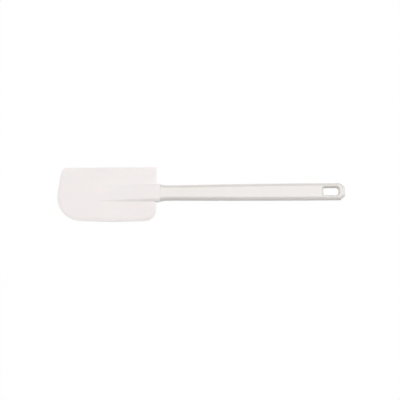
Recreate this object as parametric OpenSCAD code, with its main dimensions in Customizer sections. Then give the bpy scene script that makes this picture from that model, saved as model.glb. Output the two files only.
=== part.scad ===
// Bowl scraper: a flexible blade moulded over the windowed tang of a rigid handle.
// It lies flat. X runs from the blade's nose to the hanging end, Y across the blade, Z up.
// The origin lies under the middle of the whole length and width, on the flat back.
// Both pieces are drawn about the handle's own axis and mid-plane, then moved to that frame.

/* [Overall] */
// Length over all, from the blade's nose to the handle's end
total_l = 343; // [320:1:400]

/* [Blade outline] */
// Length of the blade, from its nose to its heel edge
blade_l = 118.2; // [105:0.1:130]
// Reach of the straight upper edge from the handle's axis
upper_reach = 31.8; // [29:0.1:38]
// Deepest reach of the bowed lower edge from the handle's axis
lower_reach = 34.3; // [31:0.1:40]
// Radius of the bowed lower edge
lower_edge_r = 670; // [450:10:1500]
// Distance from the nose to the deepest point of the lower edge
lower_edge_x = 73; // [58:1:82]
// Radius of the large nose corner
nose_r = 28.5; // [18:0.5:31]
// Radius of the bowed tip edge
tip_edge_r = 250; // [150:5:500]
// Lean of the tip edge where it leaves the nose corner, in degrees
tip_lean = 5.5; // [1:0.5:8]
// Radius of the upper tip corner
tip_corner_r = 7.4; // [4:0.1:12]
// Radius of the upper heel corner
heel_top_r = 1.2; // [0.8:0.1:6]
// Radius of the lower heel corner
heel_low_r = 13.3; // [4:0.1:15]
// Lean of the heel edge towards the nose at its lower end, in degrees
heel_lean = 0.8; // [0:0.1:3]

/* [Blade thickness] */
// Thickness of the thin working edge
edge_t = 1.2; // [1:0.1:1.6]
// Rounding of the thin working edge
edge_r = 0.4; // [0.2:0.05:0.45]
// Width of the bevel that runs round the blade
bevel_w = 3.6; // [2:0.1:5]
// Thickness of the web on the handle's axis at the heel
heel_t = 4; // [3.6:0.1:5]
// Thickness of the web on the handle's axis at the tip
tip_t = 2.9; // [2.7:0.1:3.5]
// How much thinner the web is at its lower edge than on the axis
side_drop = 0.9; // [0:0.1:1]

/* [Boss and collar] */
// Width of the boss that covers the tang, and of its collar
boss_w = 22.2; // [21:0.1:26]
// Length of the boss, from the heel edge to where its nose leaves the web
boss_l = 64.2; // [50:0.1:75]
// Length of the collar that stands out past the heel edge
collar_l = 4.2; // [2:0.1:8]

/* [Handle] */
// Thickness of the handle, which is fully rounded along its edges
handle_t = 9.4; // [8:0.1:11]
// Width of the handle where its shoulder meets the collar
shoulder_w = 20.4; // [19:0.1:21.5]
// Width of the narrow neck
neck_w = 18.7; // [17:0.1:20]
// Length of the short flare from the shoulder down to the neck
shoulder_l = 7; // [4:0.5:12]
// Length of the straight neck
neck_l = 14; // [6:1:30]
// Width of the grip at its widest
grip_w = 21; // [20:0.1:24]
// Length of the grip's last stretch, which keeps its full width up to the end
grip_end_l = 20; // [12:1:60]
// Length of the cut on each end corner
end_cut_l = 5.8; // [3:0.1:6.5]
// Width of the cut on each end corner
end_cut_w = 4.9; // [3:0.1:5.5]
// Rounding of the cut's two corners
end_corner_r = 3; // [1:0.1:4]

/* [Hanging hole] */
// Length of the hanging hole along the handle
hole_l = 18.2; // [12:0.1:24]
// Width of the hanging hole across the handle
hole_w = 9.5; // [8:0.1:10.4]
// Width of the bar between the hole and the handle's end
end_bar = 7.9; // [7:0.1:14]
// Radius of the hole's two inner corners
hole_corner_r = 2; // [1:0.1:3]
// Length of the cut on each of the hole's two outer corners
hole_cut_l = 2.2; // [1:0.1:4.5]
// Rounding of the hole's rim on both faces
hole_lip_r = 3; // [0.6:0.1:3.2]

/* [Tang] */
// Rubber left beside the tang on each side of the boss
side_skin = 4.1; // [3:0.1:4.8]
// Rubber left over each face of the tang at the heel
face_skin = 2; // [1.5:0.1:2.4]
// Rubber left in front of the tang's tip, up to the boss's nose
nose_skin = 8; // [4:0.5:14]
// Thickness of the tang's tip
tang_tip_t = 2.2; // [1.6:0.1:2.4]
// Number of windows through the tang that key the blade on
windows = 3; // [1:1:4]
// Length of each window
window_l = 9; // [6:0.5:10]
// Width of each window
window_w = 6; // [4:0.1:7]
// Clearance between the tang and its pocket in the blade
fit_gap = 0.05; // [0.02:0.01:0.15]

/* [Hidden] */

// Facets along the parts of the blade's outline
heel_top_steps = 4;
tip_corner_steps = 8;
tip_edge_steps = 5;
nose_steps = 14;
lower_edge_steps = 10;
heel_low_steps = 9;
edge_steps = 2;
// Facets over a half-round edge, round a small corner, and along the handle's curves
round_steps = 12;
corner_steps = 4;
shoulder_steps = 6;
flare_steps = 10;
boss_nose_steps = 7;
lip_steps = 4;
// Facets of the round ends of the windows and of the tang's tip corners
window_fn = 32;

// Least radius that a corner keeps as its ring moves inward
least_r = 0.3;
// Length of the tang's root inside the handle, past the shoulder
root_l = 4;
// Rounding of the tang's two tip corners
tang_corner_r = 3;
// Overrun of a cut past the face that it opens
overrun = 1;
// First angle of the boss's half-round nose, which is buried in the web
boss_nose_a = 20;

shoulder_x = blade_l + collar_l;
half_t = handle_t / 2;
// The boss's faces sink towards the nose along one straight line, and meet the web there
boss_slope = (half_t - web_half([blade_l - boss_l, 0])) / boss_l;
boss_nose_x = blade_l - boss_l - boss_w / 2;
tang_l = boss_l + collar_l - nose_skin;
tang_w = boss_w - 2 * side_skin;
tang_root_t = handle_t - 2 * face_skin;
hole_x = total_l - end_bar - hole_l;
// The hole's outer cuts run parallel to the cuts on the handle's end
hole_cut_w = hole_cut_l * end_cut_w / end_cut_l;

// Centres of the arcs that the blade's outline is made of
lower_c = [lower_edge_x, lower_edge_r - lower_reach];
nose_drop = sqrt(pow(lower_edge_r - nose_r, 2) - pow(lower_edge_x - nose_r, 2));
nose_c = [nose_r, lower_c[1] - nose_drop];
tip_c = nose_c + (tip_edge_r - nose_r) * [cos(tip_lean), -sin(tip_lean)];
heel_p = [blade_l, upper_reach];
heel_down = [-sin(heel_lean), -cos(heel_lean)];

function unit(v) = v / norm(v);
function left(v) = [-v[1], v[0]];
function turned(v, a) = [v[0] * cos(a) - v[1] * sin(a), v[0] * sin(a) + v[1] * cos(a)];
function angle(v) = (atan2(v[1], v[0]) + 360) % 360;
function mix(a, b, t) = a + (b - a) * t;
function reversed(list) = [for (i = [len(list) - 1:-1:0]) list[i]];
function after_first(list) = [for (i = [1:len(list) - 1]) list[i]];

// Points along an arc, from angle a to angle b
function arc(c, r, a, b, steps) =
    [for (k = [0:steps]) c + r * [cos(mix(a, b, k / steps)), sin(mix(a, b, k / steps))]];

// The point at distance ra from a and rb from b, on the left of the way from a to b
function meet(a, ra, b, rb) =
    let (w = b - a)
    let (l = norm(w))
    let (along = (ra * ra - rb * rb + l * l) / (2 * l))
    a + (along * w + sqrt(ra * ra - along * along) * left(w)) / l;

// Arc that rounds the corner p of an outline drawn anticlockwise, both its edges moved in by d
function corner(before, p, after, r, d, steps) =
    let (u = unit(p - before), v = unit(after - p))
    let (new_r = max(r - d, least_r))
    let (centre = p + (left(u) + left(v)) / (1 + u * v) * (d + new_r))
    [for (k = [0:steps]) centre - new_r * turned(left(u), acos(u * v) * k / steps)];

// Upper part of the blade's outline, moved inward by d: from the heel, over, to the tip's axis
function blade_above(d) =
    let (heel_x = blade_l - upper_reach * tan(heel_lean) - d / cos(heel_lean))
    let (r = max(tip_corner_r - d, least_r))
    let (y = upper_reach - d - r)
    let (reach = tip_edge_r - d - r)
    let (centre = [tip_c[0] - sqrt(pow(reach, 2) - pow(y - tip_c[1], 2)), y])
    let (from = angle(centre - tip_c), to = 180 - asin(-tip_c[1] / (tip_edge_r - d)))
    concat(
        [[heel_x, 0]],
        corner(heel_p + heel_down, heel_p, heel_p - [1, 0], heel_top_r, d, heel_top_steps),
        arc(centre, r, 90, from, tip_corner_steps),
        after_first(arc(tip_c, tip_edge_r - d, from, to, tip_edge_steps))
    );

// Lower part of the blade's outline, moved inward by d: from the tip's axis round to the heel
function blade_below(d) =
    let (r = max(nose_r - d, least_r))
    let (nose = meet(tip_c, tip_edge_r - d - r, lower_c, lower_edge_r - d - r))
    let (low_r = max(heel_low_r - d, least_r))
    let (q = heel_p + left(heel_down) * -(d + low_r) - lower_c)
    let (reach = lower_edge_r - d - low_r)
    let (run = sqrt(pow(q * heel_down, 2) - q * q + reach * reach) - q * heel_down)
    let (heel = lower_c + q + heel_down * run)
    let (from = angle(nose - lower_c), to = angle(heel - lower_c))
    concat(
        arc(nose, r, angle(nose - tip_c), from, nose_steps),
        after_first(arc(lower_c, lower_edge_r - d, from, to, lower_edge_steps)),
        after_first(arc(heel, low_r, to, 360 - heel_lean, heel_low_steps))
    );

// Half the web's thickness at p: it thins from heel to tip, and from the axis to both sides
function web_half(p) =
    (mix(tip_t, heel_t, p[0] / blade_l) - side_drop * abs(p[1]) / lower_reach) / 2;

// One round of the blade's outline, moved inward by d, with all its points at one height
function rim(d, height) =
    [for (p = concat(blade_above(d), blade_below(d))) [p[0], p[1], height]];

// Side faces between rings of n points, each ring anticlockwise seen from the last one
function ring_sides(n, rings) =
    [for (k = [0:rings - 2]) for (i = [0:n - 1])
        [k * n + i, (k + 1) * n + i, (k + 1) * n + (i + 1) % n, k * n + (i + 1) % n]];

// Solid through closed rings of equal count, with convex flat ends
module skin(rings) {
    n = len(rings[0]);
    last = (len(rings) - 1) * n;
    polyhedron([for (ring = rings) each ring], concat(ring_sides(n, len(rings)), [
        [for (i = [0:n - 1]) i],
        [for (i = [n - 1:-1:0]) last + i]
    ]));
}

// The flat blade: a thin rounded edge, a bevel, and two flat faces that meet on the axis
module web() {
    over = [for (k = [0:edge_steps])
        let (a = 90 * k / edge_steps)
        rim(edge_r * (1 - cos(a)), edge_t / 2 - edge_r * (1 - sin(a)))];
    inner = [for (p = rim(bevel_w, 0)) [p[0], p[1], web_half(p)]];
    upper = concat(over, [inner]);
    rings = concat([for (ring = reversed(upper)) [for (p = ring) [p[0], p[1], -p[2]]]], upper);
    n = len(inner);
    tip = len(blade_above(0)) - 1;
    last = (len(rings) - 1) * n;
    polyhedron([for (ring = rings) each ring], concat(ring_sides(n, len(rings)), [
        [for (i = [0:tip]) i],
        [for (i = [tip:n]) i % n],
        [for (i = [tip:-1:0]) last + i],
        [for (i = [n:-1:tip]) last + i % n]
    ]));
}

// Section of the boss across the handle's axis at x: a flat band with half-round edges
function boss_section(x, half_w, half_h) =
    concat(
        [for (k = [0:round_steps])
            let (a = -90 + 180 * k / round_steps)
            [x, half_w - half_h + half_h * cos(a), half_h * sin(a)]],
        [for (k = [0:round_steps])
            let (a = 90 + 180 * k / round_steps)
            [x, -half_w + half_h + half_h * cos(a), half_h * sin(a)]]
    );

// The boss rises out of the web as a wedge with half-round edges, and ends in the collar
module boss() {
    nose = [for (k = [0:boss_nose_steps])
        let (a = mix(boss_nose_a, 90, k / boss_nose_steps))
        [boss_nose_x + boss_w / 2 * (1 - cos(a)), boss_w / 2 * sin(a)]];
    stations = concat(nose, [[blade_l, boss_w / 2]]);
    skin(concat(
        [for (s = stations) boss_section(s[0], s[1], half_t - (blade_l - s[0]) * boss_slope)],
        [boss_section(shoulder_x, boss_w / 2, half_t)]
    ));
}

// A straight window with round ends, centred on the origin
module window(length, width, height) {
    run = length - width;
    cube([run, width, height], center = true);
    for (side = [-1, 1])
        translate([side * run / 2, 0, 0])
            cylinder(h = height, d = width, center = true, $fn = window_fn);
}

// The tang, made larger by grow on every outer face and smaller by it in every window
module tang(grow) {
    tip_x = shoulder_x - tang_l - grow;
    end_x = shoulder_x + root_l;
    tip_h = tang_tip_t / 2 + grow;
    root_h = tang_root_t / 2 + grow;
    half_w = tang_w / 2 + grow;
    pitch = tang_l / (windows + 0.5);
    difference() {
        intersection() {
            rotate([90, 0, 0])
                linear_extrude(height = 2 * tang_w, center = true)
                    polygon([
                        [tip_x, -tip_h], [shoulder_x, -root_h], [end_x, -root_h],
                        [end_x, root_h], [shoulder_x, root_h], [tip_x, tip_h]
                    ]);
            union() {
                translate([tip_x + tang_corner_r, -half_w, -handle_t])
                    cube([end_x - tip_x - tang_corner_r, 2 * half_w, 2 * handle_t]);
                translate([tip_x, tang_corner_r - half_w, -handle_t])
                    cube([2 * tang_corner_r, 2 * (half_w - tang_corner_r), 2 * handle_t]);
                for (side = [-1, 1])
                    translate([tip_x + tang_corner_r, side * (half_w - tang_corner_r), 0])
                        cylinder(h = 2 * handle_t, r = tang_corner_r, center = true,
                            $fn = window_fn);
            }
        }
        for (k = [1:windows])
            translate([shoulder_x - pitch * k, 0, 0])
                window(window_l - 2 * grow, window_w - 2 * grow, 3 * handle_t);
    }
}

// Stations along the handle, each with its distance from the shoulder and its half-width
function handle_stations() =
    let (flare_x = shoulder_l + neck_l)
    let (flare_l = total_l - shoulder_x - grip_end_l - flare_x)
    concat(
        [for (k = [0:shoulder_steps])
            [shoulder_l * k / shoulder_steps,
             mix(shoulder_w, neck_w, (1 - cos(180 * k / shoulder_steps)) / 2) / 2]],
        [for (k = [0:flare_steps])
            [flare_x + flare_l * k / flare_steps,
             mix(neck_w, grip_w, sin(90 * k / flare_steps)) / 2]]
    );

// Lower side of the handle's outline, moved inward by d, from the shoulder to the end
function handle_side(d) =
    let (a = [total_l - end_cut_l, -grip_w / 2])
    let (b = [total_l, end_cut_w - grip_w / 2])
    concat(
        [for (s = handle_stations()) [shoulder_x + s[0], d - s[1]]],
        corner(a - [1, 0], a, b, end_corner_r, d, corner_steps),
        corner(a, b, b + [0, 1], end_corner_r, d, corner_steps)
    );

// The handle's shaft: half-round edges all along and round the cut end, flat at the shoulder
module shaft() {
    n = len(handle_side(0));
    points = [for (k = [0:round_steps])
        let (a = -90 + 180 * k / round_steps)
        let (side = handle_side(half_t * (1 - cos(a))))
        for (i = [0:2 * n - 1])
            i < n ? [side[i][0], side[i][1], half_t * sin(a)] :
                    [side[2 * n - 1 - i][0], -side[2 * n - 1 - i][1], half_t * sin(a)]];
    row = 2 * n;
    top = round_steps * row;
    sides = [for (k = [0:round_steps - 1]) for (i = [0:row - 2])
        [k * row + i, (k + 1) * row + i, (k + 1) * row + i + 1, k * row + i + 1]];
    shoulder = [for (k = [0:round_steps]) k * row, for (k = [round_steps:-1:0]) (k + 1) * row - 1];
    back = [for (i = [0:n - 2]) [i, i + 1, row - 2 - i, row - 1 - i]];
    front = [for (i = [0:n - 2]) [top + row - 1 - i, top + row - 2 - i, top + i + 1, top + i]];
    polyhedron(points, concat(sides, [reversed(shoulder)], back, front));
}

// Outline of the hanging hole, moved outward by d, anticlockwise from its inner lower corner
function hole_ring(d) =
    let (half = hole_w / 2, far = hole_x + hole_l)
    let (p = [
        [hole_x, -half, hole_corner_r],
        [far - hole_cut_l, -half, least_r],
        [far, hole_cut_w - half, least_r],
        [far, half - hole_cut_w, least_r],
        [far - hole_cut_l, half, least_r],
        [hole_x, half, hole_corner_r]
    ])
    let (flat = [for (q = p) [q[0], q[1]]])
    [for (i = [0:5])
        each corner(flat[(i + 5) % 6], flat[i], flat[(i + 1) % 6], p[i][2], -d, corner_steps)];

// The hanging hole with its rounded rims, as the solid that is cut away
module hanging_hole() {
    up = concat(
        [for (k = [0:lip_steps])
            let (a = 80 * k / lip_steps)
            [hole_lip_r * (1 - cos(a)), half_t - hole_lip_r * (1 - sin(a))]],
        [[hole_lip_r, half_t + overrun]]
    );
    levels = concat([for (l = reversed(up)) [l[0], -l[1]]], up);
    skin([for (l = levels) [for (p = hole_ring(l[0])) [p[0], p[1], l[1]]]]);
}

// Moves what is drawn about the handle's axis and mid-plane to the part's own frame
module in_frame() {
    translate([-total_l / 2, (lower_reach - upper_reach) / 2, half_t])
        children();
}

// The flexible blade with its boss and collar, and the plugs that fill the tang's windows
module blade() {
    color([0.96, 0.94, 0.93])
        in_frame()
            difference() {
                union() {
                    web();
                    boss();
                }
                tang(fit_gap);
            }
}

// The rigid handle with its tang and its hanging hole
module handle() {
    color([0.93, 0.91, 0.89])
        in_frame()
            union() {
                difference() {
                    shaft();
                    hanging_hole();
                }
                tang(0);
            }
}

blade();
handle();
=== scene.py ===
import cmath
import math

import bmesh
import bpy
import numpy as np
from mathutils import Matrix, Vector
from mathutils.geometry import delaunay_2d_cdt


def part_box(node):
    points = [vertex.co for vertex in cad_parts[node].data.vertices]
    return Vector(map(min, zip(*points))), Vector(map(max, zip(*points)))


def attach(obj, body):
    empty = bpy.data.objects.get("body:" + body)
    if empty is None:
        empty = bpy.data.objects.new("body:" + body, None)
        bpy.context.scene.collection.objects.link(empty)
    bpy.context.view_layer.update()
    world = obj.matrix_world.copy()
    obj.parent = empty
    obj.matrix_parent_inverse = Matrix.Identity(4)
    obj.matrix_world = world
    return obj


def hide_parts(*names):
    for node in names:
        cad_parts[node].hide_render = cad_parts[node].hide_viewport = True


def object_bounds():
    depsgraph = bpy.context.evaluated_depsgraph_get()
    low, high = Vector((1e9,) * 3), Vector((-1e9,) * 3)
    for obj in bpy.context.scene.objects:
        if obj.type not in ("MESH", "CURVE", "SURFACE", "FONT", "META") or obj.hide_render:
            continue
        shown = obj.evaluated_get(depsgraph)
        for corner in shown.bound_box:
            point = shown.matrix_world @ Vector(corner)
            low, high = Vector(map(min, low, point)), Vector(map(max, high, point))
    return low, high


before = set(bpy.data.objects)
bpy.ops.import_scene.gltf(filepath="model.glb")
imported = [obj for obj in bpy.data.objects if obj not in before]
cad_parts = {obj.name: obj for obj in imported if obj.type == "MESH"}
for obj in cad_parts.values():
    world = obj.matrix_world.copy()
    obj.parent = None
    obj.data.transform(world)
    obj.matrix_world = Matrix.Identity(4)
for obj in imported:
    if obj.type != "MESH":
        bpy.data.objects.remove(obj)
cad_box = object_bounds()

# A bowl scraper, drawn as its two mouldings: the soft rubber blade, whose boss has a pocket, and
# the rigid plastic handle, whose tang fills that pocket

# Where the object sits in the photograph, in its 400 by 400 pixels
IMAGE = 400
NOSE_PX = 57.5
END_PX = 345.1
MIDDLE_PX = 193.8

# The photograph's view, in degrees, its long lens, in mm, and how far the camera sees, in metres
ELEVATION = 78.0
ROLL = 0.45
LENS = 135.0
SENSOR = 36.0
SIGHT = 20.0

# How much of the floor's white is its own glow, to the camera, what light it sends back, how far
# it reaches, and how far it lies under the object's flat faces, in metres
FLOOR_GLOW = 0.97
FLOOR_BOUNCE = (0.95, 0.95, 0.95)
FLOOR_REACH = 15.0
FLOOR_DROP = 0.0001

# The lights, in metres and watts: the softbox overhead, a little behind the object, the small
# one low off the handle's end, and how strong the even light from all round is
KEY_PLACE = (0.12, 0.3, 2.0)
KEY_AIM = (0.12, 0, 0)
KEY_SIZE = (3.0, 1.5)
KEY_POWER = 43.2
FILL_PLACE = (0.47, 0.05, 0.035)
FILL_AIM = (0.17, 0, 0.004)
FILL_SIZE = (0.2, 0.06)
FILL_POWER = 0.22
SURROUND = 0.23

# Colours as they read in the photograph, in sRGB, how rough the two surfaces are, how much light
# goes into them and how far, in metres, and the handle's gloss
BLADE_COLOUR = (0.96, 0.939, 0.935)
BLADE_ROUGHNESS = 0.65
BLADE_DEPTH = 0.3
BLADE_REACH = (0.004, 0.003, 0.0025)
HANDLE_COLOUR = (0.890, 0.873, 0.858)
HANDLE_ROUGHNESS = 0.18
HANDLE_DEPTH = 0.12
HANDLE_REACH = (0.003, 0.0025, 0.002)
HANDLE_GLOSS = 0.65
REACH_SCALE = 0.5

# Both mouldings are drawn in mm, with x from the blade's nose along the handle's axis, y across
# it, and z from the mid-plane that both are alike about. MM is one in metres, and METRE a metre
MM = 0.001
METRE = 1000
LENGTH = 343.0
HALF = (cad_box[1][2] - cad_box[0][2]) * METRE / 2

# The blade's outline
BLADE_L = 118.2
UPPER_REACH = 31.8
LOWER_REACH = 34.3
LOWER_EDGE_R = 670.0
LOWER_EDGE_X = 73.0
NOSE_R = 28.5
TIP_EDGE_R = 250.0
TIP_LEAN = 5.5
TIP_CORNER_R = 7.4
HEEL_TOP_R = 1.2
HEEL_LOW_R = 13.3
HEEL_LEAN = 0.8

# The blade's thickness, its thin edge and its bevel
EDGE_T = 1.2
EDGE_R = 0.4
BEVEL_W = 3.6
HEEL_T = 4.0
TIP_T = 2.9
SIDE_DROP = 0.9

# The boss over the tang, the soft foot that blends it into the blade and that shrinks to a least
# share at the heel edge, the collar past that edge, and the flare that widens the boss to it
BOSS_W = 20.4
BOSS_L = 65.1
FOOT_R = 3.6
FOOT_LEAST = 0.08
COLLAR_W = 22.2
COLLAR_L = 4.2
FLARE_L = 4.5
SHOULDER_X = BLADE_L + COLLAR_L

# The handle's outline
SHOULDER_W = 20.4
NECK_W = 18.7
SHOULDER_L = 7.0
NECK_L = 14.0
GRIP_W = 21.0
GRIP_END_L = 20.0
END_CUT_L = 5.8
END_CUT_W = 4.9
END_CORNER_R = 3.0

# The hanging hole
HOLE_L = 18.2
HOLE_W = 9.5
END_BAR = 7.9
HOLE_CORNER_R = 2.0
HOLE_CUT_L = 2.2
HOLE_CUT_R = 0.8
HOLE_LIP_R = 3.0

# The tang inside the boss, and the clearance round it
TANG_W = 14.0
TANG_L = 60.4
TANG_ROOT_T = 5.4
TANG_TIP_T = 2.2
TANG_CORNER_R = 3.0
TANG_ROOT_L = 4.0
TANG_ROOT_R = 0.5
WINDOWS = 3
WINDOW_L = 9.0
WINDOW_W = 6.0
FIT_GAP = 0.05

# The fine round on the two edges that meet at the seam between collar and handle, and how far
# from the seam its rows of points lie, as shares of it
SEAM_R = 0.12
SEAM_STEPS = np.array([0, 0.06, 0.2, 0.4, 0.7, 1, 1.5, 2])
# Half the height of the flat that the mould's parting leaves all along an edge
PARTING = 0.12
# How softly the bevel meets the blade's face, and the hole's rim the handle's round edge
CREASE_SOFT = 0.12
RIM_SOFT = 0.5
# Spacing of the meshes' points along an outline and over flat faces, and the most that an arc
# turns from one point to the next, in general and round the boss's nose
ALONG = 1.3
FLAT = 3.0
ARC_TURN = math.radians(7)
NOSE_TURN = math.radians(4)
# How near to an outline no loose point is kept
MERGE = 0.03
# How near two points of a path, and two of a mesh, count as one
SAME = 1e-6
WELD = 1e-5
# How much less than its depth an inset route may lie from where it came from
SLACK = 0.01
# Angle over which an edge is a true one
SHARP = math.radians(40)
# Turns round a half-round edge from the flat face to the side, and round the hole's rim
SECTION_TURNS = np.radians(np.linspace(0, 90, 13))
LIP_TURNS = np.radians(np.linspace(15, 90, 6))
# Depths of the rings of points that follow the blade's edge and bevel, and at how many of them
# the collar's outer rows have a point too, on the blade's side of the heel edge
RIM_DEPTHS = [0.05, 0.12, 0.22, 0.4, 0.9, 1.7, 2.6, 3.2, 3.6, 4.0, 4.8]
HEEL_DEPTHS = 5
# Rows of points over half a flat face near the seam, as shares of its half-width
FACE_ROWS = np.array([0.1, 0.3, 0.5, 0.7, 0.9, 1])
# Spacing of the rows of points over the boss's sides and foot, and how far the foot reaches out
ROW = 0.3
FOOT_REACH = 1.7
# How far the collar's first points lie past the heel edge
PAST_HEEL = 0.04
# How far from the handle's sides and from the hole their two rounds meet on the side bars
RIDGE_IN = 3.55
RIDGE_OUT = 2.1

# Where the drawing lies in the frame, in mm
handle_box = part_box("handle")
END_X = handle_box[1][0] * METRE
AXIS_Y = (handle_box[0][1] + handle_box[1][1]) / 2 * METRE


def linear(colour):
    """An sRGB colour as the linear one that a shader takes."""
    return tuple(c / 12.92 if c <= 0.04045 else ((c + 0.055) / 1.055) ** 2.4 for c in colour)


# ---- Plane geometry, with points as complex numbers ----

def line(a, b):
    """Points from a to b, both included."""
    return a + (b - a) * np.linspace(0, 1, max(2, math.ceil(abs(b - a) / ALONG) + 1))


def arc(centre, radius, start, end, turn=ARC_TURN):
    """Points along an arc from one angle to another, in radians, at most a turn apart."""
    sweep = abs(end - start)
    count = max(2, math.ceil(sweep / turn), math.ceil(sweep * radius / ALONG))
    return centre + radius * np.exp(1j * np.linspace(start, end, count + 1))


def corner(before, at, after, radius):
    """The arc that rounds a corner of a path."""
    u, v = (at - before) / abs(at - before), (after - at) / abs(after - at)
    turn = cmath.phase(v / u)
    side = math.copysign(1, turn)
    start = at - u * radius * math.tan(abs(turn) / 2)
    centre = start + 1j * side * u * radius
    first = cmath.phase(start - centre)
    return arc(centre, radius, first, first + turn)


def path(*parts):
    """Parts of a path as one, with the straight stretches between them and no point twice."""
    points = [np.atleast_1d(parts[0])]
    for part in parts[1:]:
        part = np.atleast_1d(part)
        last = points[-1][-1]
        if abs(part[0] - last) > SAME:
            points.append(line(last, part[0])[1:])
        points.append(part[1:])
    return np.concatenate(points)


def meet(a, ra, b, rb):
    """The point at distance ra from a and rb from b, on the left of the way from a to b."""
    way = b - a
    along = (ra ** 2 - rb ** 2 + abs(way) ** 2) / (2 * abs(way))
    return a + complex(along, math.sqrt(ra ** 2 - along ** 2)) * way / abs(way)


def distance(points, route):
    """Distance of each point from a route of straight pieces."""
    a, step = route[:-1], np.diff(route)
    off = points[:, None] - a
    share = np.clip((off * step.conj()).real / np.abs(step) ** 2, 0, 1)
    return np.abs(off - share * step).min(axis=1)


def within(points, loop):
    """True for each point inside a closed loop."""
    a, b = loop, np.roll(loop, -1)
    x, y = points.real[:, None], points.imag[:, None]
    rise = np.where(b.imag == a.imag, 1, b.imag - a.imag)
    cut_x = a.real + (y - a.imag) * (b.real - a.real) / rise
    crossed = ((a.imag > y) != (b.imag > y)) & (x < cut_x)
    return crossed.sum(axis=1) % 2 == 1


def inset(route, depth):
    """A route moved to its left by a depth, without the points that come too near to it again."""
    heading = np.gradient(route)
    moved = route + 1j * heading / np.abs(heading) * depth
    return moved[distance(moved, route) > abs(depth) - SLACK]


# ---- Outlines ----

def handle_half(x):
    """Half the handle's width at x: shoulder, short flare, neck, long swell to the grip."""
    s = np.asarray(x) - SHOULDER_X
    swell_l = LENGTH - SHOULDER_X - GRIP_END_L - SHOULDER_L - NECK_L
    flare = (1 - np.cos(np.pi * np.clip(s / SHOULDER_L, 0, 1))) / 2
    swell = np.sin(np.pi / 2 * np.clip((s - SHOULDER_L - NECK_L) / swell_l, 0, 1))
    return (SHOULDER_W + (NECK_W - SHOULDER_W) * flare + (GRIP_W - NECK_W) * swell) / 2


def seam_round(x):
    """The share of its height that a surface keeps at x, near the fine round at the seam."""
    near = np.clip(1 - np.abs(x - SHOULDER_X) / SEAM_R, 0, 1)
    return 1 - SEAM_R / HALF * (1 - np.sqrt(1 - near ** 2))


def handle_sides():
    """The handle's outline from the shoulder's lower corner, round the end, to the upper one."""
    cut_x, cut_y = LENGTH - END_CUT_L, GRIP_W / 2 - END_CUT_W
    near = SHOULDER_X + SEAM_R * SEAM_STEPS
    x = np.concatenate([near, np.arange(near[-1] + ALONG / 2, cut_x - END_CORNER_R, ALONG)])
    side = x + 1j * handle_half(x)
    a, b = complex(cut_x, -GRIP_W / 2), complex(LENGTH, -cut_y)
    first = corner(a - 1, a, b, END_CORNER_R)
    second = corner(a, b, b + 1j, END_CORNER_R)
    return path(side.conj(), first, second, second[::-1].conj(), first[::-1].conj(), side[::-1])


def rounded(corners):
    """A closed loop through rounded corners, each given as (point, radius), anticlockwise."""
    places = [at for at, radius in corners]
    arcs = [corner(places[i - 1], at, places[(i + 1) % len(places)], radius)
            for i, (at, radius) in enumerate(corners)]
    loop = path(*arcs, arcs[0][0])
    return loop[:-1]


def hole_loop():
    """The hanging hole's outline: two round corners towards the blade and two cut ones."""
    far = LENGTH - END_BAR
    near = far - HOLE_L
    half = HOLE_W / 2
    drop = HOLE_CUT_L * END_CUT_W / END_CUT_L
    return rounded([
        (complex(near, -half), HOLE_CORNER_R),
        (complex(far - HOLE_CUT_L, -half), HOLE_CUT_R),
        (complex(far, drop - half), HOLE_CUT_R),
        (complex(far, half - drop), HOLE_CUT_R),
        (complex(far - HOLE_CUT_L, half), HOLE_CUT_R),
        (complex(near, half), HOLE_CORNER_R),
    ])


def bearing(v):
    """The direction of v, from 0 to a full turn."""
    return cmath.phase(v) % (2 * math.pi)


def heel_x(y):
    """Where the heel edge, which leans a little, lies at y."""
    return BLADE_L - (UPPER_REACH - y) * math.tan(math.radians(HEEL_LEAN))


def blade_sides():
    """The blade's outline from the collar's upper side, round the tip, to its lower side."""
    half = COLLAR_W / 2
    lean = math.radians(HEEL_LEAN)
    lower_c = complex(LOWER_EDGE_X, LOWER_EDGE_R - LOWER_REACH)
    drop = math.sqrt((LOWER_EDGE_R - NOSE_R) ** 2 - (LOWER_EDGE_X - NOSE_R) ** 2)
    nose_c = complex(NOSE_R, lower_c.imag - drop)
    tip_c = nose_c + (TIP_EDGE_R - NOSE_R) * cmath.exp(-1j * math.radians(TIP_LEAN))
    reach = TIP_EDGE_R - TIP_CORNER_R
    y = UPPER_REACH - TIP_CORNER_R
    tip_corner_c = complex(tip_c.real - math.sqrt(reach ** 2 - (y - tip_c.imag) ** 2), y)
    heel_p = complex(BLADE_L, UPPER_REACH)
    down = -1j * cmath.exp(-1j * lean)
    q = heel_p - 1j * down * HEEL_LOW_R - lower_c
    along = (q * down.conjugate()).real
    reach = LOWER_EDGE_R - HEEL_LOW_R
    heel_c = lower_c + q + down * (math.sqrt(along ** 2 - abs(q) ** 2 + reach ** 2) - along)
    upper, lower = complex(heel_x(half), half), complex(heel_x(-half), -half)
    turns = [math.pi / 2, bearing(tip_corner_c - tip_c), bearing(nose_c - tip_c),
             bearing(nose_c - lower_c), bearing(heel_c - lower_c), 2 * math.pi - lean]
    rounds = [(tip_corner_c, TIP_CORNER_R), (tip_c, TIP_EDGE_R), (nose_c, NOSE_R),
              (lower_c, LOWER_EDGE_R), (heel_c, HEEL_LOW_R)]
    return path(
        upper,
        corner(upper, heel_p, heel_p - 1, HEEL_TOP_R),
        *(arc(*of, start, end) for of, start, end in zip(rounds, turns, turns[1:])),
        lower,
    )


# ---- Heights of the surfaces over the mid-plane ----

def quarter(radius, across):
    """Height of a quarter round, by the distance across from where it starts."""
    return np.sqrt(np.maximum(radius ** 2 - (radius - np.clip(across, 0, radius)) ** 2, 0))


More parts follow.
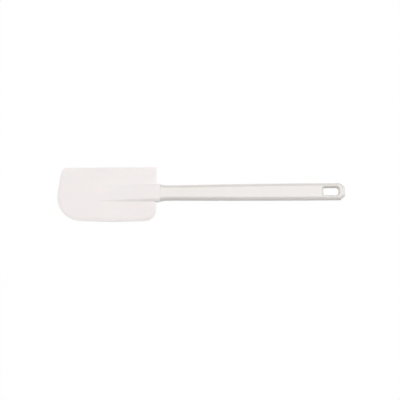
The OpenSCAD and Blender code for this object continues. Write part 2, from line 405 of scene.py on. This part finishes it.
def lesser(a, b, soft):
    """The lower of two heights, with the edge between them softened."""
    blend = np.clip(0.5 + (b - a) / (2 * soft), 0, 1)
    return b + (a - b) * blend - soft * blend * (1 - blend)


def web_half(x, y):
    """Half the web's thickness: it thins from heel to tip, and from the axis to both sides."""
    return (TIP_T + (HEEL_T - TIP_T) * x / BLADE_L - SIDE_DROP * np.abs(y) / LOWER_REACH) / 2


def boss_flare(x):
    """How much wider than its own half-width the boss is at x, on the way to the collar's."""
    share = np.clip(1 - (BLADE_L - x) / FLARE_L, 0, 1)
    return (COLLAR_W - BOSS_W) / 2 * share ** 2 * (3 - 2 * share)


def blade_height(at):
    """The blade's web with its bevel and thin edge, and the boss that stands out of it."""
    x, y = at.real, at.imag
    sides = blade_sides()
    depth = distance(at, path(sides, sides[0]))
    web = web_half(x, y)
    rise = (depth - EDGE_R) / (BEVEL_W - EDGE_R)
    bevel = EDGE_T / 2 + (web - EDGE_T / 2) * rise
    edge = EDGE_T / 2 - EDGE_R + quarter(EDGE_R, depth)
    base = np.where(depth < EDGE_R, edge, lesser(bevel, web, CREASE_SOFT))

    # The boss is as high as top, and out is the distance across from where its round edge starts
    start_x = BLADE_L - BOSS_L
    top = HALF + (HALF - web_half(start_x, 0)) * np.minimum(x - BLADE_L, 0) / BOSS_L
    out = np.where(x > start_x, np.abs(y), np.abs(at - start_x)) - (BOSS_W / 2 - top)
    out = out * top / (top + boss_flare(x))
    side = quarter(top, top - out)
    # The foot is a hollow round between touch, where it leaves the boss's round edge, and
    # foot_out, where it runs out on the blade's face
    foot = FOOT_R * np.clip(depth / BEVEL_W, FOOT_LEAST, 1)
    foot_out = np.sqrt(np.maximum((top + foot) ** 2 - (base + foot) ** 2, 0))
    hollow = base + foot - np.sqrt(np.maximum(foot ** 2 - (foot_out - out) ** 2, 0))
    touch = foot_out * top / (top + foot)
    boss = np.where(out < touch, side, np.where(out < foot_out, hollow, base))
    on_blade = np.where(top > base, boss, base)
    return np.where(x > heel_x(y) + PAST_HEEL / 2, side * seam_round(x), on_blade)


def handle_height(at):
    """The handle's half-round edges and flat face, with the hanging hole's rounded rim."""
    hole = hole_loop()
    shaft = quarter(HALF, distance(at, handle_sides())) * seam_round(at.real)
    off = distance(at, path(hole, hole[0]))
    past_rim = np.maximum(off - HOLE_LIP_R, 0)
    rim = HALF - HOLE_LIP_R + quarter(HOLE_LIP_R, off) + past_rim
    return lesser(shaft, rim, RIM_SOFT)


def tang_height(grow):
    """The tang's faces, which taper from its root to its tip, made larger by grow."""
    def height(at):
        share = np.clip((at.real - SHOULDER_X) / TANG_L + 1, 0, 1)
        return (TANG_TIP_T + (TANG_ROOT_T - TANG_TIP_T) * share) / 2 + grow
    return height


# ---- Meshes ----

def lattice(low_x, high_x, reach):
    """Staggered rows of points from low_x to high_x, as far as reach on both sides of y = 0."""
    apart = FLAT * math.sqrt(3) / 2
    count = math.ceil(reach / apart)
    return np.concatenate([
        np.arange(low_x + FLAT / 2 * (k % 2), high_x, FLAT) + 1j * k * apart
        for k in range(-count, count + 1)
    ])


def moulding(name, outline, holes, inner, height):
    """A closed mesh with the same height over and under the mid-plane, inside an outline."""
    loops = [outline, *holes]
    keep = within(inner, outline)
    for loop in loops:
        keep &= distance(inner, path(loop, loop[0])) > MERGE
    for hole in holes:
        keep &= ~within(inner, hole)
    points = np.concatenate([*loops, inner[keep]])
    edges, first = [], 0
    for loop in loops:
        count = len(loop)
        edges += [(first + k, first + (k + 1) % count) for k in range(count)]
        first += count
    plan = [Vector((p.real, p.imag)) for p in points]
    flat, _, faces, *_ = delaunay_2d_cdt(plan, edges, [], 0, WELD)
    at = np.array([complex(*v) for v in flat])
    middles = np.array([at[face].mean() for face in map(list, faces)])
    solid = within(middles, outline)
    for hole in holes:
        solid &= ~within(middles, hole)
    faces = [list(face) for face, kept in zip(faces, solid) if kept]
    z = np.maximum(height(at), PARTING)
    total = len(at)
    sides = {(a, b) for face in faces for a, b in zip(face, face[1:] + face[:1])}
    walls = [(a + total, b + total, b, a) for a, b in sorted(sides) if (b, a) not in sides]
    under = [[v + total for v in reversed(face)] for face in faces]
    x, y = at.real - LENGTH + END_X, at.imag + AXIS_Y
    over = [(px, py, HALF + pz) for px, py, pz in zip(x, y, z)]
    beneath = [(px, py, HALF - pz) for px, py, pz in zip(x, y, z)]
    mesh = bpy.data.meshes.new(name)
    mesh.from_pydata([(MM * a, MM * b, MM * c) for a, b, c in over + beneath],
                     [], faces + under + walls)
    piece = bpy.data.objects.new(name, mesh)
    bpy.context.scene.collection.objects.link(piece)
    return piece


def blade_body():
    """The whole rubber moulding, still without the tang's pocket."""
    sides = blade_sides()
    closed = path(sides, sides[0])
    half, face, start_x = COLLAR_W / 2, BOSS_W / 2 - HALF, BLADE_L - BOSS_L
    by_seam = SHOULDER_X - SEAM_R * SEAM_STEPS[::-1]
    stations = np.arange(BLADE_L + ALONG / 4, by_seam[0] - ALONG / 4, ALONG / 2)
    stations = np.concatenate([stations, by_seam])
    across = face * FACE_ROWS
    rows = np.concatenate([across, face + (half - face) * np.sin(SECTION_TURNS[1:])])
    rows = np.concatenate([-rows[::-1], rows])
    low = np.concatenate([[heel_x(-half) + PAST_HEEL], stations]) - 1j * half
    high = np.concatenate([[heel_x(half) + PAST_HEEL], stations]) + 1j * half
    outline = path(sides, low, SHOULDER_X + 1j * rows, high[::-1], sides[0])[:-1]

    # Rings of points along the blade's edge and bevel, but for where the boss crosses them
    rings = np.concatenate([inset(closed, depth) for depth in RIM_DEPTHS])
    beside_boss = np.abs(rings.imag) > half + 2 * ROW + FOOT_REACH
    rings = rings[(rings.real < BLADE_L - 2 * BEVEL_W) | beside_boss]
    # Rows of points along the boss's sides and foot, and round its nose
    outs = np.arange(face - ROW, half + FOOT_REACH, ROW)
    run = np.arange(RIM_DEPTHS[-1] + ALONG, BOSS_L - ALONG / 2, ALONG)
    run = np.concatenate([[0], RIM_DEPTHS, run])
    beside = [heel_x(y) - run + 1j * y for y in np.concatenate([outs, -outs])]
    outer = rows[np.abs(rows) > half - 2 * ROW]
    by_heel = [heel_x(y) - run[:HEEL_DEPTHS + 1] + 1j * y for y in outer]
    around = np.concatenate([
        arc(start_x, out, math.pi / 2, 3 * math.pi / 2, turn=NOSE_TURN) for out in outs])
    # Rows of points over the collar, from close past the heel edge to the seam
    on_collar = np.concatenate([heel_x(rows) + PAST_HEEL + 1j * rows,
                                (stations[:, None] + 1j * rows).ravel()])
    # Loose points over the flat faces, and a row along each line where two of them meet
    flat = lattice(0, BLADE_L - FLAT / 2, LOWER_REACH)
    off_boss = np.where(flat.real > start_x, np.abs(flat.imag), np.abs(flat - start_x))
    on_face = off_boss > outs[-1] + FLAT / 4
    on_face &= distance(flat, closed) > RIM_DEPTHS[-1] + FLAT / 4
    flat = flat[(off_boss < outs[0] - FLAT / 4) | on_face]
    climb = (HALF - web_half(start_x, 0)) / BOSS_L - (HEEL_T - TIP_T) / BLADE_L / 2
    fold = np.concatenate([-across[::-1], across])
    crease = start_x - SIDE_DROP / LOWER_REACH / 2 / climb * np.abs(fold) + 1j * fold
    flat = flat[distance(flat, crease) > FLAT / 4]
    inner = np.concatenate([rings, *beside, *by_heel, around, on_collar, flat, crease])
    return moulding("soft_blade", outline, [], inner, blade_height)


def handle_body():
    """The whole handle but its tang."""
    sides, hole = handle_sides(), hole_loop()
    closed_hole = path(hole, hole[0])
    by_seam = SHOULDER_X + SEAM_R * SEAM_STEPS
    half = handle_half(by_seam)[:, None]
    side = half - HALF * (1 - np.sin(SECTION_TURNS[1:]))
    near = np.hstack([(half - HALF) * FACE_ROWS, side])
    near = by_seam[:, None] + 1j * np.hstack([near[:, ::-1], -near])
    outline = path(sides, near[0], sides[0])[:-1]

    # Rings of points over the half-round edge
    depths = HALF * (1 - np.cos(SECTION_TURNS[1:]))
    rings = np.concatenate([inset(sides, depth) for depth in [*depths, HALF + ROW]])
    off_rim = distance(rings, closed_hole) > RIDGE_OUT
    rings = rings[(rings.real > by_seam[-1] + SEAM_R) & off_rim]
    # Rings over the hole's rounded rim, and loose points over the flat face
    lip_depths = [*(HOLE_LIP_R * (1 - np.cos(LIP_TURNS))), HOLE_LIP_R + ROW]
    lips = np.concatenate([inset(closed_hole, -depth) for depth in lip_depths])
    lips = lips[distance(lips, sides) > RIDGE_IN]
    flat = lattice(SHOULDER_X + ALONG, LENGTH, GRIP_W / 2)
    clear = distance(flat, sides) > HALF + 3 * ROW
    clear &= distance(flat, closed_hole) > HOLE_LIP_R + 3 * ROW
    inner = np.concatenate([rings, near[1:].ravel(), lips, flat[clear]])
    return moulding("rigid_handle", outline, [hole], inner, handle_height)


def tang(grow):
    """The tang with its windows: larger by grow on each outer face, smaller in each window."""
    half, low_x = TANG_W / 2 + grow, SHOULDER_X - TANG_L - grow
    high_x = SHOULDER_X + TANG_ROOT_L
    outline = rounded([
        (complex(low_x, -half), TANG_CORNER_R),
        (complex(high_x, -half), TANG_ROOT_R),
        (complex(high_x, half), TANG_ROOT_R),
        (complex(low_x, half), TANG_CORNER_R),
    ])
    pitch = TANG_L / (WINDOWS + 0.5)
    radius, reach = WINDOW_W / 2 - grow, (WINDOW_L - WINDOW_W) / 2
    one = path(arc(reach, radius, -math.pi / 2, math.pi / 2),
               arc(-reach, radius, math.pi / 2, 3 * math.pi / 2), reach - 1j * radius)[:-1]
    windows = [SHOULDER_X - pitch * (k + 1) + one for k in range(WINDOWS)]
    return moulding("tang", outline, windows, lattice(low_x, high_x, half), tang_height(grow))


def joined(piece, other, operation):
    """Applies a boolean with another piece, which is used up."""
    change = piece.modifiers.new(operation, "BOOLEAN")
    change.operation = operation
    change.solver = "EXACT"
    change.object = other
    cut = piece.evaluated_get(bpy.context.evaluated_depsgraph_get())
    result = bpy.data.meshes.new_from_object(cut)
    piece.modifiers.clear()
    piece.data = result
    bpy.data.objects.remove(other)


def shaded(piece):
    """Smooth shading that stops at true edges."""
    mesh = bmesh.new()
    mesh.from_mesh(piece.data)
    for face in mesh.faces:
        face.smooth = True
    for edge in mesh.edges:
        edge.smooth = edge.calc_face_angle(0) < SHARP
    mesh.to_mesh(piece.data)
    mesh.free()


# ---- Camera, light and floor ----

def camera():
    """A long lens at the photograph's angle, aimed so that the object falls on its pixels."""
    lo, hi = cad_box
    metres_per_px = (hi[0] - lo[0]) / (END_PX - NOSE_PX)
    distance_off = LENS / SENSOR * metres_per_px * IMAGE
    tilt = Matrix.Rotation(math.radians(90 - ELEVATION), 3, "X")
    turn = tilt @ Matrix.Rotation(math.radians(-ROLL), 3, "Z")
    right, up, back = (turn @ Vector(axis) for axis in ((1, 0, 0), (0, 1, 0), (0, 0, 1)))
    middle = (lo + hi) / 2
    off_right = ((NOSE_PX + END_PX) - IMAGE) / 2 * metres_per_px
    off_up = (IMAGE / 2 - MIDDLE_PX) * metres_per_px
    data = bpy.data.cameras.new("camera")
    data.lens = LENS
    data.sensor_width = SENSOR
    data.clip_end = SIGHT
    cam = bpy.data.objects.new("camera", data)
    cam.location = middle - off_right * right - off_up * up + distance_off * back
    cam.rotation_euler = turn.to_euler()
    bpy.context.scene.collection.objects.link(cam)
    bpy.context.scene.camera = cam


def softbox(name, place, aim, size, power):
    """A rectangular area lamp at a place, aimed at a point."""
    data = bpy.data.lights.new(name, "AREA")
    data.shape = "RECTANGLE"
    data.size, data.size_y = size
    data.energy = power
    lamp = bpy.data.objects.new(name, data)
    lamp.location = place
    way = Vector(aim) - Vector(place)
    lamp.rotation_euler = way.to_track_quat("-Z", "Y").to_euler()
    bpy.context.scene.collection.objects.link(lamp)


def surround(strength):
    """An even white surround."""
    world = bpy.data.worlds.new("surround")
    world.use_nodes = True
    back = world.node_tree.nodes["Background"]
    back.inputs["Color"].default_value = (1, 1, 1, 1)
    back.inputs["Strength"].default_value = strength
    bpy.context.scene.world = world


def floor():
    """A pale floor, nearly white to the camera and to reflections, with the object's shadow."""
    mesh = bpy.data.meshes.new("floor")
    corners = [(FLOOR_REACH * x, FLOOR_REACH * y, -FLOOR_DROP)
               for x, y in ((-1, -1), (1, -1), (1, 1), (-1, 1))]
    mesh.from_pydata(corners, [], [(0, 1, 2, 3)])
    ground = bpy.data.objects.new("floor", mesh)
    bpy.context.scene.collection.objects.link(ground)
    material = bpy.data.materials.new("floor_white")
    material.use_nodes = True
    tree = material.node_tree
    lit = tree.nodes.new("ShaderNodeBsdfDiffuse")
    lit.inputs["Color"].default_value = (1, 1, 1, 1)
    glow = tree.nodes.new("ShaderNodeEmission")
    glow.inputs["Strength"].default_value = 1.0
    seen = tree.nodes.new("ShaderNodeMixShader")
    seen.inputs["Fac"].default_value = FLOOR_GLOW
    bounce = tree.nodes.new("ShaderNodeBsdfDiffuse")
    bounce.inputs["Color"].default_value = (*FLOOR_BOUNCE, 1)
    ray = tree.nodes.new("ShaderNodeLightPath")
    direct = tree.nodes.new("ShaderNodeMath")
    direct.operation = "MAXIMUM"
    either = tree.nodes.new("ShaderNodeMixShader")
    link = tree.links.new
    link(lit.outputs["BSDF"], seen.inputs[1])
    link(glow.outputs["Emission"], seen.inputs[2])
    link(ray.outputs["Is Camera Ray"], direct.inputs[0])
    link(ray.outputs["Is Glossy Ray"], direct.inputs[1])
    link(direct.outputs["Value"], either.inputs["Fac"])
    link(bounce.outputs["BSDF"], either.inputs[1])
    link(seen.outputs["Shader"], either.inputs[2])
    link(either.outputs["Shader"], tree.nodes["Material Output"].inputs["Surface"])
    mesh.materials.append(material)


# ---- Materials ----

class Surface:
    """A material in the making: its nodes, its shader and the object's own coordinates."""

    def __init__(self, name):
        self.material = bpy.data.materials.new(name)
        self.material.use_nodes = True
        self.tree = self.material.node_tree
        self.shader = self.tree.nodes["Principled BSDF"]
        self.place = self.tree.nodes.new("ShaderNodeTexCoord").outputs["Object"]

    def node(self, kind, **links):
        """A new node, with links to the inputs that are named."""
        made = self.tree.nodes.new(kind)
        for socket, source in links.items():
            self.tree.links.new(source, made.inputs[socket])
        return made

    def noise(self, scale, detail, stretch=(1, 1, 1)):
        """Noise with a scale per metre, drawn out along an axis where stretch is small."""
        mapping = self.node("ShaderNodeMapping", Vector=self.place)
        mapping.inputs["Scale"].default_value = stretch
        made = self.node("ShaderNodeTexNoise", Vector=mapping.outputs["Vector"])
        made.inputs["Scale"].default_value = scale
        made.inputs["Detail"].default_value = detail
        return made.outputs["Fac"]

    def ramp(self, pattern, low, high, dark, light):
        """Colours from dark to light as a pattern goes from low to high."""
        made = self.node("ShaderNodeValToRGB", Fac=pattern)
        first, last = made.color_ramp.elements
        first.position, last.position = low, high
        first.color, last.color = (*linear(dark), 1), (*linear(light), 1)
        return made.outputs["Color"]

    def spread(self, pattern, low, high, least, most):
        """Numbers from least to most as a pattern goes from low to high."""
        made = self.node("ShaderNodeMapRange", Value=pattern)
        limits = {"From Min": low, "From Max": high, "To Min": least, "To Max": most}
        for socket, value in limits.items():
            made.inputs[socket].default_value = value
        return made.outputs["Result"]

    def bump(self, pattern, depth, strength, under=None):
        """Relief as deep as depth, in metres, laid over another relief if one is given."""
        links = {"Height": pattern} if under is None else {"Height": pattern, "Normal": under}
        made = self.node("ShaderNodeBump", **links)
        made.inputs["Strength"].default_value = strength
        made.inputs["Distance"].default_value = depth
        return made.outputs["Normal"]

    def set(self, **sources):
        """Links the shader's inputs, whose names are given with _ for each space."""
        for name, source in sources.items():
            self.tree.links.new(source, self.shader.inputs[name.replace("_", " ")])

    def soften(self, depth, reach):
        """Lets a share of the light into the material, as far as reach in red, green and blue."""
        self.shader.inputs["Subsurface Weight"].default_value = depth
        self.shader.inputs["Subsurface Radius"].default_value = reach
        self.shader.inputs["Subsurface Scale"].default_value = REACH_SCALE


def darker(colour, *steps):
    """A colour taken down by a step in each channel."""
    return tuple(c - step for c, step in zip(colour, steps))


def blade_rubber():
    """Matte, slightly milky rubber: slow cloudy tones, a fine grain, a faint dusty speckle."""
    made = Surface("blade_rubber")
    clouds = made.noise(scale=22, detail=3)
    grain = made.noise(scale=1100, detail=2)
    dust = made.noise(scale=140, detail=4)
    waves = made.bump(made.noise(scale=90, detail=2), depth=0.0001, strength=0.08)
    made.set(
        Base_Color=made.ramp(clouds, low=0.3, high=0.7,
                             dark=darker(BLADE_COLOUR, 0.010, 0.013, 0.013), light=BLADE_COLOUR),
        Roughness=made.spread(dust, low=0.3, high=0.7,
                              least=BLADE_ROUGHNESS - 0.05, most=BLADE_ROUGHNESS + 0.05),
        Normal=made.bump(grain, depth=0.00005, strength=0.35, under=waves),
    )
    made.soften(BLADE_DEPTH, BLADE_REACH)
    return made.material


def handle_plastic():
    """Satin moulded plastic: slow tones, a fine grain, and faint scuffs along the handle."""
    made = Surface("handle_plastic")
    clouds = made.noise(scale=26, detail=3)
    scuffs = made.noise(scale=900, detail=3, stretch=(0.05, 1, 1))
    grain = made.noise(scale=1500, detail=2)
    scratches = made.bump(scuffs, depth=0.00002, strength=0.12)
    made.set(
        Base_Color=made.ramp(clouds, low=0.3, high=0.7,
                             dark=darker(HANDLE_COLOUR, 0.009, 0.010, 0.012),
                             light=HANDLE_COLOUR),
        Roughness=made.spread(scuffs, low=0.35, high=0.75,
                              least=HANDLE_ROUGHNESS - 0.04, most=HANDLE_ROUGHNESS + 0.08),
        Normal=made.bump(grain, depth=0.00003, strength=0.2, under=scratches),
    )
    made.shader.inputs["Specular IOR Level"].default_value = HANDLE_GLOSS
    made.soften(HANDLE_DEPTH, HANDLE_REACH)
    return made.material


def finished(piece, material, node):
    """Shades a piece, gives it its material and lets it stand for its CAD node."""
    shaded(piece)
    piece.data.materials.clear()
    piece.data.materials.append(material)
    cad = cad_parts[node].data
    cad.materials.clear()
    cad.materials.append(material)
    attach(piece, "root")
    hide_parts(node)


bpy.context.scene.view_settings.view_transform = "Standard"
camera()
floor()
surround(SURROUND)
softbox("key", KEY_PLACE, KEY_AIM, KEY_SIZE, KEY_POWER)
softbox("fill", FILL_PLACE, FILL_AIM, FILL_SIZE, FILL_POWER)

blade, handle = blade_body(), handle_body()
joined(blade, tang(FIT_GAP), "DIFFERENCE")
joined(handle, tang(0), "UNION")
finished(blade, blade_rubber(), "blade")
finished(handle, handle_plastic(), "handle")
